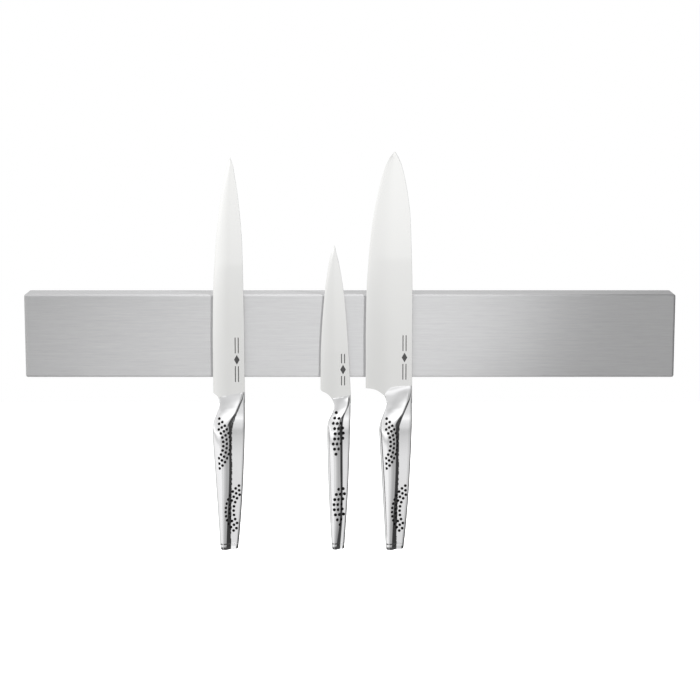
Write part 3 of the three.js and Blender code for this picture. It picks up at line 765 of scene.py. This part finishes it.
def knife_place(name):
    """Where the knife's own frame sits: spine, middle plane, neck."""
    low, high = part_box(name + "_blade")
    return Vector((KNIVES[name]["spine_x"] * MM, (low.y + high.y) / 2, NECK_Z * MM))


def foot_height(knife, x):
    """Lower end of the blade at x: the heel's curve, then the line where the blade meets the bolster."""
    heel, line = knife["foot"]
    return along(heel if x < heel[-1][0] else line, x)


EDGE_HALF = 0.03  # half thicknesses of the very edge and of the top of its bevel
BEVEL_HALF = 0.2
BEVEL_WIDTH = 1.5
WIDEST_BEVEL = 0.3  # of the blade's width
FLAT_FROM = 0.58  # of the blade's width, from the edge
TAPER_LENGTH = 90  # below the tip, over which the blade thickens from a third
SPINE_EASE = 0.15
LEAST_WIDTH = 0.05


def blade_half(knife, z, width, from_edge):
    """Half thickness of the blade at a distance from its edge: bevel, taper, flat, eased spine."""
    tip = knife["spine"][-1][0]
    full = knife["thickness"] / 2 * min(1 / 3 + 2 / 3 * (tip - z) / TAPER_LENGTH, 1)
    flat_from = width * FLAT_FROM
    bevel, bevel_half = min(BEVEL_WIDTH, width * WIDEST_BEVEL), min(BEVEL_HALF, full)
    if from_edge <= bevel:
        return EDGE_HALF + (bevel_half - EDGE_HALF) * from_edge / bevel
    if from_edge < flat_from:
        share = (from_edge - bevel) / (flat_from - bevel)
        return bevel_half + (full - bevel_half) * math.sin(share * math.pi / 2) ** 0.9
    ease = min(SPINE_EASE, full * 0.5)
    over = max(from_edge - (width - ease), 0) / ease
    return full - ease * (1 - math.sqrt(max(1 - over**2, 0)))


BLADE_ROWS = 110
ROW_CROWDING = 1.15  # above 1 the rows crowd together towards the tip
EDGE_SHARES = [0, 0.008, 0.018]  # closer columns along the edge and the spine
SPINE_SHARES = [0.985, 0.992, 0.997, 1]
BLADE_SHARES = EDGE_SHARES + [0.018 + 0.982 * k / 32 for k in range(1, 31)] + SPINE_SHARES
HEEL_Z = 12  # the foot's columns are spread over the blade's width at this height


def blade_points(name):
    """Front and back points of the blade, row by row from its foot to its tip."""
    knife = KNIVES[name]
    tip = knife["spine"][-1][0]
    place = knife_place(name)
    front, back = [], []
    for r in range(BLADE_ROWS + 1):
        climb = 1 - (1 - r / BLADE_ROWS) ** ROW_CROWDING
        for share in BLADE_SHARES:
            x_low = along(knife["edge"], HEEL_Z) * (1 - share)
            z_low = foot_height(knife, x_low)
            z = z_low + (tip - z_low) * climb
            edge, spine = along(knife["edge"], z), along(knife["spine"], z)
            width = max(spine - edge, LEAST_WIDTH)
            x = edge + width * share
            half = blade_half(knife, z, width, width * share)
            front.append(place + Vector((x, -half, z)) * MM)
            back.append(place + Vector((x, half, z)) * MM)
    return front, back


def make_blade(name):
    front, back = blade_points(name)
    columns = len(BLADE_SHARES)
    count = len(front)
    faces = stitch(BLADE_ROWS + 1, columns, closed=False)
    faces += [tuple(count + i for i in reversed(quad)) for quad in faces]
    for r in range(BLADE_ROWS):
        a, b = r * columns, (r + 1) * columns
        faces.append((a, b, count + b, count + a))
        a, b = a + columns - 1, b + columns - 1
        faces.append((b, a, count + a, count + b))
    for c in range(columns - 1):
        faces.append((c + 1, c, count + c, count + c + 1))
        top = BLADE_ROWS * columns + c
        faces.append((top, top + 1, count + top + 1, count + top))
    blade = new_object(name + "_blade_skin", front + back, faces, [BLADE_SATIN, ETCHED], BLADE_SHARP)
    etch_mark(blade, name)
    stands_for(blade, name + "_blade", name)


MARK_X = -6.5
MARK_DEPTH = 0.03
MARK_CLEAR = 1.0  # how far the cutter stands out of the blade
LOZENGE_WIDTH, LOZENGE_HEIGHT = 4.8, 8.4
LINE_WIDTH = 0.8
LINE_OFFSET = 1.3  # of each line's middle from the mark's
LINE_GAP = 5.5  # from the lozenge's middle to the lines' ends


def etch_mark(blade, name):
    """A plain ornament near the spine, no lettering: a lozenge between two pairs of fine lines."""
    knife = KNIVES[name]
    place = knife_place(name)
    low, high = knife["mark"]
    middle = (low + high) / 2
    reach, rise = LOZENGE_WIDTH / 2, LOZENGE_HEIGHT / 2
    left, right = MARK_X - reach, MARK_X + reach
    shapes = [[(left, middle), (MARK_X, middle - rise), (right, middle), (MARK_X, middle + rise)]]
    for x in (MARK_X - LINE_OFFSET, MARK_X + LINE_OFFSET):
        left, right = x - LINE_WIDTH / 2, x + LINE_WIDTH / 2
        for start, stop in ((low, middle - LINE_GAP), (middle + LINE_GAP, high)):
            shapes.append([(left, start), (right, start), (right, stop), (left, stop)])
    verts, faces = [], []
    half = knife["thickness"] / 2
    for shape in shapes:
        first = len(verts)
        for y in (-half - MARK_CLEAR, -half + MARK_DEPTH):
            verts += [place + Vector((x, y, z)) * MM for x, z in shape]
        faces += stitch(2, 4, first)
        faces += [tuple(first + k for k in (3, 2, 1, 0)), tuple(first + k for k in (4, 5, 6, 7))]
    cut(blade, new_object("mark_cutter", verts, faces, [ETCHED]))
    reshade(blade, BLADE_SHARP)


LOBE_STEPS, FALL_STEPS, WALL_STEPS, FACET_STEPS, CORNER_STEPS = 22, 10, 4, 8, 5


def lobe_points(handle, s, crest, depth):
    """The lobe from the left edge to its crest: round on the grip, a hollow sweep at the neck."""
    left = along(handle["left"], s)
    flush = min(handle["blade_half"], depth)
    flat = along(NECK_FLAT, s)
    hollow = along(NECK_HOLLOW, s)
    points = []
    for k in range(LOBE_STEPS + 1):
        angle = math.pi / 2 * k / LOBE_STEPS
        reach = math.cos(angle) ** (2 / LOBE_ROUNDNESS) if k < LOBE_STEPS else 0
        round_depth = depth * math.sin(angle) ** (2 / LOBE_ROUNDNESS)
        rise = 1 - reach
        from_edge = min(rise * (crest - left) / NECK_EDGE, 1)
        swept_depth = flush + (depth - flush) * (flat + (1 - flat) * rise**NECK_SWEEP)
        swept_depth *= math.sqrt(1 - (1 - from_edge) ** 2)
        points.append((crest - (crest - left) * reach, round_depth + (swept_depth - round_depth) * hollow))
    return points


def facet_points(right, crease, crease_depth):
    """The facet from the crease to the middle of the spine side, with a rounded corner between them."""
    facet_depth = crease_depth - (right - crease) * FACET_SLOPE
    corner = min(SPINE_ROUND, (right - crease) * 0.8, facet_depth * 0.6)
    points = []
    for k in range(1, FACET_STEPS + 1):
        share = (k / FACET_STEPS) ** 1.5
        x = crease + (right - corner - crease) * share
        points.append((x, crease_depth - (x - crease) * FACET_SLOPE))
    for k in range(1, CORNER_STEPS + 1):
        angle = math.pi / 2 * k / CORNER_STEPS
        x = right - corner * (1 - math.sin(angle))
        points.append((x, facet_depth - corner * (1 - math.cos(angle))))
    points.append((right, points[-1][1] * 0.5))
    return points


def handle_profile(handle, s):
    """Half of the handle's section as (x, depth): left edge, round lobe, crease, flat facet, spine side."""
    left, right, crease, depth = (along(handle[key], s) for key in ("left", "right", "crease", "depth"))
    crest = left + (crease - left) * along(CREST_SHARE, s)
    crease_depth = depth * along(handle["crease_share"], s)
    drop = depth - crease_depth
    wall = min(along(WALL, s), (crease - crest) * WIDEST_WALL)
    wall_drop = min(wall * handle["wall_slope"], drop * HIGHEST_WALL)
    roll_off = along(ROLL_OFF, s)
    points = lobe_points(handle, s, crest, depth)
    for k in range(1, FALL_STEPS + 1):
        share = k / FALL_STEPS
        x = crest + (crease - wall - crest) * share
        points.append((x, depth - (drop - wall_drop) * share**roll_off))
    for k in range(1, WALL_STEPS + 1):
        share = 1 - k / WALL_STEPS
        points.append((crease - wall * share, crease_depth + wall_drop * share))
    return points + facet_points(right, crease, crease_depth)


def handle_ring(handle, s, inset=0.0):
    """The whole section: front half from left to right, back half from right to left."""
    half = handle_profile(handle, s)
    left, right = half[0][0], half[-1][0]
    middle, shrink = (left + right) / 2, 1 - 2 * inset / (right - left)
    half = [(middle + (x - middle) * shrink, max(depth - inset, 0.0)) for x, depth in half]
    front = [(x, -depth) for x, depth in half]
    back = [(x, depth) for x, depth in half[1:]]
    spine = [(half[-1][0], 0.0)]
    return front + spine + back[::-1]


BOLSTER_GAP = 0.03  # between the blade's foot and the bolster


def handle_top(knife, column):
    """How far above the neck (as a negative s) a column of the handle's skin starts."""
    s = -5.0  # close enough to settle from
    for _ in range(12):
        x = handle_ring(knife["handle"], s)[column][0]
        s = -foot_height(knife, min(x, 0.0)) + BOLSTER_GAP
    return s


DIMPLE_DEPTH = 0.45
DIMPLE_STEPS = 20
DRILL_REACH = 2.5  # how far the cutter stands out of the skin


def arc_row(centre, radius, angles):
    """Dimples on an arc in the handle's plane; angles in degrees from +x towards the neck."""
    turns = [math.radians(a) for a in angles]
    return [(centre[0] + radius * math.cos(a), centre[1] - radius * math.sin(a)) for a in turns]


def even_angles(first, last, count):
    return [first + (last - first) * k / (count - 1) for k in range(count)]


PAIR_STRETCH = 1.06  # a row of two is spaced a little wider


def block(first_s, pitch, rows, spacing):
    """Staggered straight rows, each given as its number of dimples and the place of its middle."""
    dots = []
    for r, (count, middle) in enumerate(rows):
        gap = spacing * (PAIR_STRETCH if count == 2 else 1)
        dots += [(middle + gap * (k - (count - 1) / 2), first_s + pitch * r) for k in range(count)]
    return dots


# The wide handles carry two crescents of three rows each, the narrow one two wavy bands.
WIDE_DIMPLE_RADIUS, NARROW_DIMPLE_RADIUS = 1.25, 1.4
WIDE_DIMPLES = (
    arc_row((-40.6, 34.05), 28.5, even_angles(48.2, -48.2, 14))
    + arc_row((-39.8, 34.05), 24.8, even_angles(43.5, -43.5, 11))
    + arc_row((-39.6, 34.05), 21.5, even_angles(35.2, -35.2, 8))
    + arc_row((11.0, 93.3), 27.6, [180 - a for a in even_angles(53.5, -39.1, 13)])
    + arc_row((10.9, 93.3), 24.3, [180 - a for a in even_angles(48.2, -39.1, 11)])
    + arc_row((11.7, 93.3), 21.9, [180 - a for a in even_angles(40.5, -29.4, 8)])
)
NARROW_UPPER = [(1, -12.3), (2, -11.9), (3, -11.5), (3, -10.3), (3, -9.8), (3, -10.2), (3, -11.5),
                (2, -11.9), (1, -12.5)]
NARROW_LOWER = [(2, -8.3), (3, -8.8), (3, -10.2), (3, -10.9), (3, -10.6), (3, -9.6), (2, -9.5), (1, -9.0)]
NARROW_DIMPLES = block(8.0, 4.4, NARROW_UPPER, 3.4) + block(73.9, 4.46, NARROW_LOWER, 3.4)


def skin_depth(handle, x, s):
    """Half depth of the handle under a point of its outline plane."""
    profile = handle_profile(handle, s)
    for (x0, d0), (x1, d1) in zip(profile, profile[1:]):
        if x0 <= x <= x1:
            return d0 + (d1 - d0) * (x - x0) / max(x1 - x0, 1e-6)
    return 0.0


def drill_dimples(skin, knife, place):
    """Shallow round-bottomed dimples in both sides, enamelled black, cut without disturbing the shading."""
    handle = knife["handle"]
    wide = handle is WIDE_HANDLE
    dots = WIDE_DIMPLES if wide else NARROW_DIMPLES
    radius = WIDE_DIMPLE_RADIUS if wide else NARROW_DIMPLE_RADIUS
    verts, faces = [], []
    for side in (-1, 1):
        for x, s in dots:
            depth = skin_depth(handle, x, s)
            first = len(verts)
            profile = [
                (1.0, depth + DRILL_REACH),
                (1.0, depth - DIMPLE_DEPTH * 0.6),
                (0.82, depth - DIMPLE_DEPTH * 0.9),
                (0.45, depth - DIMPLE_DEPTH),
            ]
            for share, y in profile:
                for k in range(DIMPLE_STEPS):
                    angle = 2 * math.pi * k / DIMPLE_STEPS
                    dx, dz = radius * share * math.cos(angle), radius * share * math.sin(angle)
                    verts.append(place + Vector((x + dx, side * y, -s + dz)) * MM)
            last = first + (len(profile) - 1) * DIMPLE_STEPS
            faces += stitch(len(profile), DIMPLE_STEPS, first)
            faces.append(tuple(reversed(range(first, first + DIMPLE_STEPS))))
            faces.append(tuple(range(last, last + DIMPLE_STEPS)))
    cut_keeping_shading(skin, new_object("dimple_cutter", verts, faces, [BLACK_ENAMEL]))


GRIP_START = 24.0  # above it the skin's rows fan out to the bolster's slanted top, below it they are level
BOLSTER_ROWS, GRIP_ROWS = 34, 96
SEAM_EDGE = 0.06  # bevel on both sides of the joint between skin and cap
SEAM_GAP = 0.1
SEAM_INSET = 1.2  # how far the hidden end faces are drawn in


def ring_points(handle, s, place, inset=0.0):
    return [place + Vector((x, y, -s)) * MM for x, y in handle_ring(handle, s, inset)]


def closed_rings(count, columns):
    """Faces of a tube of rings with both its ends closed."""
    faces = stitch(count, columns)
    last = (count - 1) * columns
    faces.append(tuple(reversed(range(columns))))
    faces.append(tuple(range(last, last + columns)))
    return faces


def make_handle(name):
    knife = KNIVES[name]
    handle = knife["handle"]
    place = knife_place(name)
    columns = len(handle_ring(handle, 0))
    tops = [handle_top(knife, c) for c in range(columns)]
    verts = []
    for r in range(BOLSTER_ROWS):
        for c in range(columns):
            s = tops[c] + (GRIP_START - tops[c]) * r / BOLSTER_ROWS
            x, y = handle_ring(handle, s)[c]
            verts.append(place + Vector((x, y, -s)) * MM)
    for r in range(GRIP_ROWS + 1):
        verts += ring_points(handle, GRIP_START + (SKIN_END - GRIP_START) * r / GRIP_ROWS, place)
    for inset in (SEAM_EDGE, SEAM_INSET):
        verts += ring_points(handle, SKIN_END + SEAM_EDGE, place, inset)
    faces = closed_rings(len(verts) // columns, columns)
    skin = new_object(name + "_handle_skin", verts, faces, [HANDLE_POLISH, BLACK_ENAMEL], SHARP)
    drill_dimples(skin, knife, place)
    stands_for(skin, name + "_handle", name)


CAP_WALL = 1.6  # straight part of the cap
CAP_RIM = 1.5  # length of its rounded rim
CAP_END_INSET = 2.6
CAP_ARC_STEPS = 8


def make_butt_cap(name):
    """Closed end of the handle, with a hairline joint and rounded rim."""
    handle = KNIVES[name]["handle"]
    place = knife_place(name)
    start = SKIN_END + SEAM_GAP
    steps = [(start, SEAM_INSET), (start, SEAM_EDGE), (start + SEAM_EDGE, 0.0), (start + CAP_WALL, 0.0)]
    for k in range(1, CAP_ARC_STEPS + 1):
        angle = math.pi / 2 * k / CAP_ARC_STEPS
        s = BUTT_END - CAP_RIM + CAP_RIM * math.sin(angle)
        steps.append((s, CAP_RIM * 0.9 * (1 - math.cos(angle))))
    steps.append((BUTT_END, CAP_END_INSET))
    verts = []
    for s, inset in steps:
        verts += ring_points(handle, s, place, inset)
    faces = closed_rings(len(steps), len(verts) // len(steps))
    cap = new_object(name + "_butt_cap_skin", verts, faces, [HANDLE_POLISH], SHARP)
    stands_for(cap, name + "_butt_cap", name)


for knife_name in KNIVES:
    make_blade(knife_name)
    make_handle(knife_name)
    make_butt_cap(knife_name)


# ---------------------------------------------------------------- carried-over nodes


def dress(node, finish, bevel):
    """A finish and small rounded edges on a CAD node's own mesh."""
    obj = NODES[node]
    obj.data.materials.clear()
    obj.data.materials.append(finish)
    modifier(obj, "BEVEL", width=bevel, segments=2, limit_method="ANGLE", angle_limit=math.radians(SHARP))


for node in NODES:
    if node.startswith("magnet_") and node != "magnet_spacer":
        dress(node, NICKEL, 0.05 * MM)
    elif node.startswith("stud_") or node.startswith("hanger_plate") or node == "yoke_plate":
        dress(node, ZINC, 0.12 * MM)
    elif node in ("back_plate", "back_housing", "magnet_spacer"):
        dress(node, BLACK_PLASTIC, 0.2 * MM)
